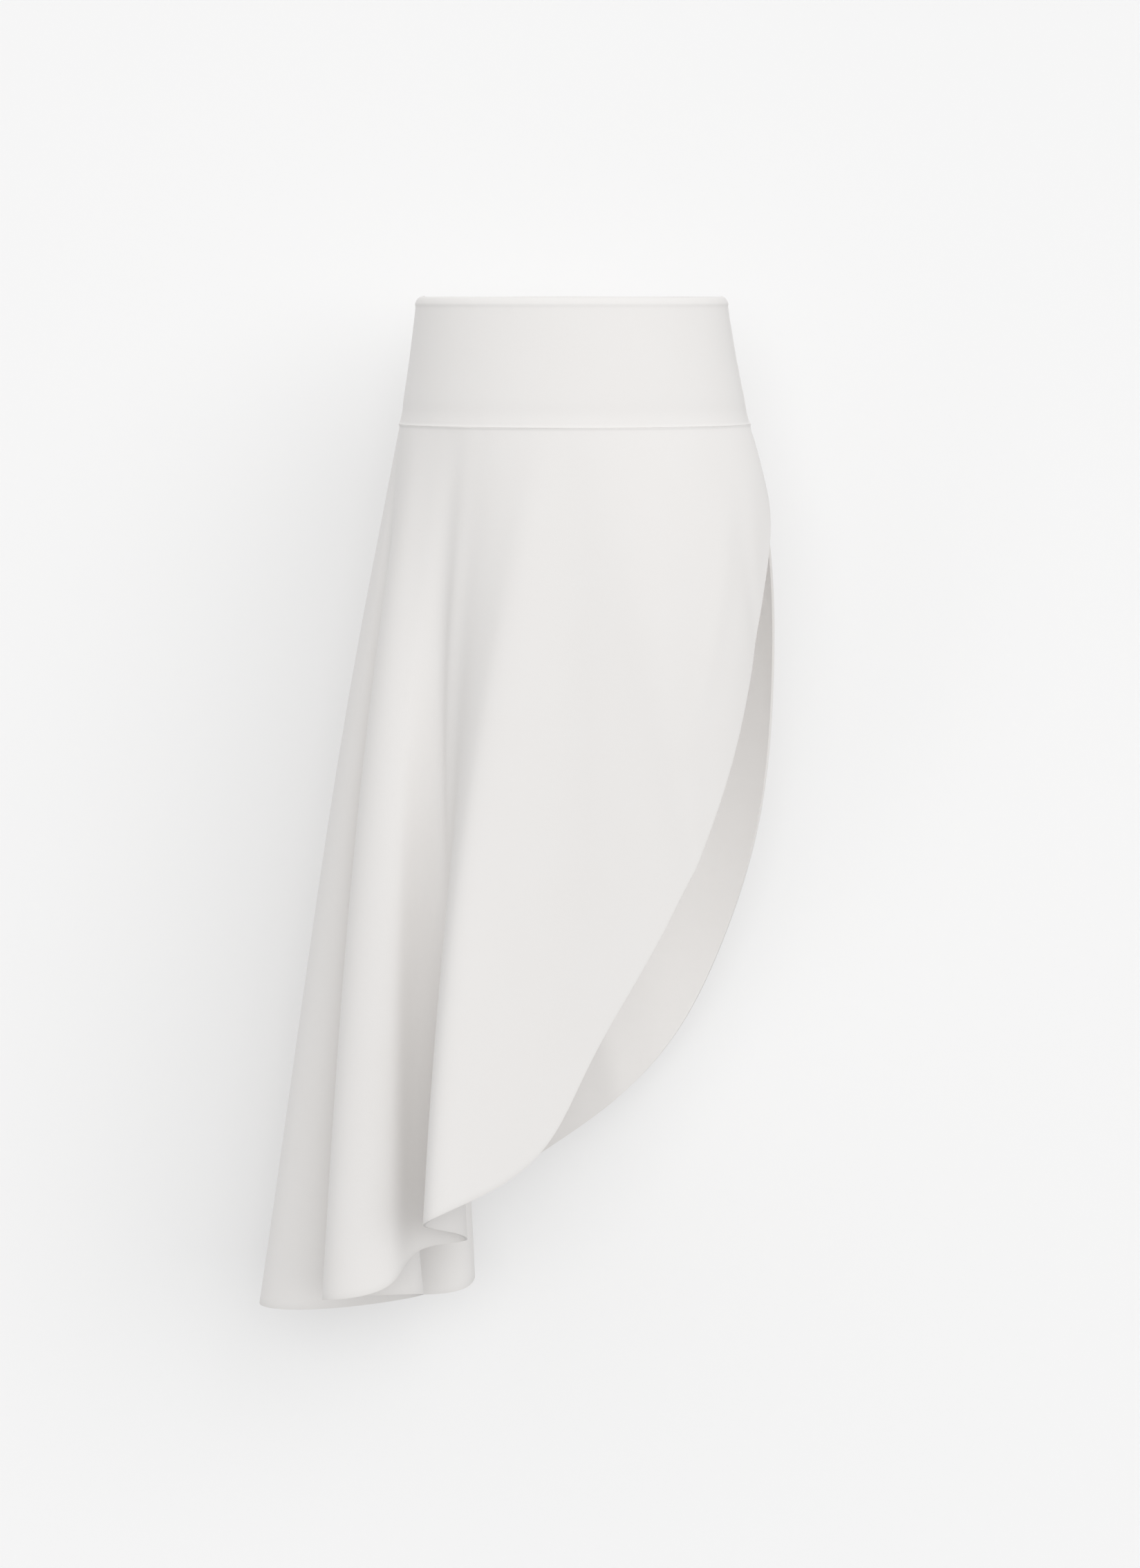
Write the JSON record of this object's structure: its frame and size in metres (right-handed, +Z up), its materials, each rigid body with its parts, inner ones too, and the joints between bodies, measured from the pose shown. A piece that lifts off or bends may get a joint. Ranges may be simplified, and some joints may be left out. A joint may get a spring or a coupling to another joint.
{
  "type": "asymmetric skirt with wide waistband",
  "caption": "Off-white asymmetric skirt, worn form: wide shaped waistband, front cut away in a long curve on one side, deep flutes falling to a low point on the other.",
  "frame": {"origin": "middle of the waist at the waistband's top edge, where the wearer holds the skirt up", "axes": "+Z up, the wearer faces -Y, +X towards the open side, which is on the right seen from the front"},
  "size_m": [0.4312, 0.3259, 0.8443],
  "materials": {
    "band_cloth": "matt off-white compact crepe, doubled, with a soft rolled top edge",
    "skirt_cloth": "matt off-white compact crepe, single, with clean-cut edges"
  },
  "bodies": {
    "root": {"waistband_front": "band_cloth", "waistband_back": "band_cloth", "skirt_front": "skirt_cloth", "skirt_back": "skirt_cloth"}
  },
  "joints": []
}
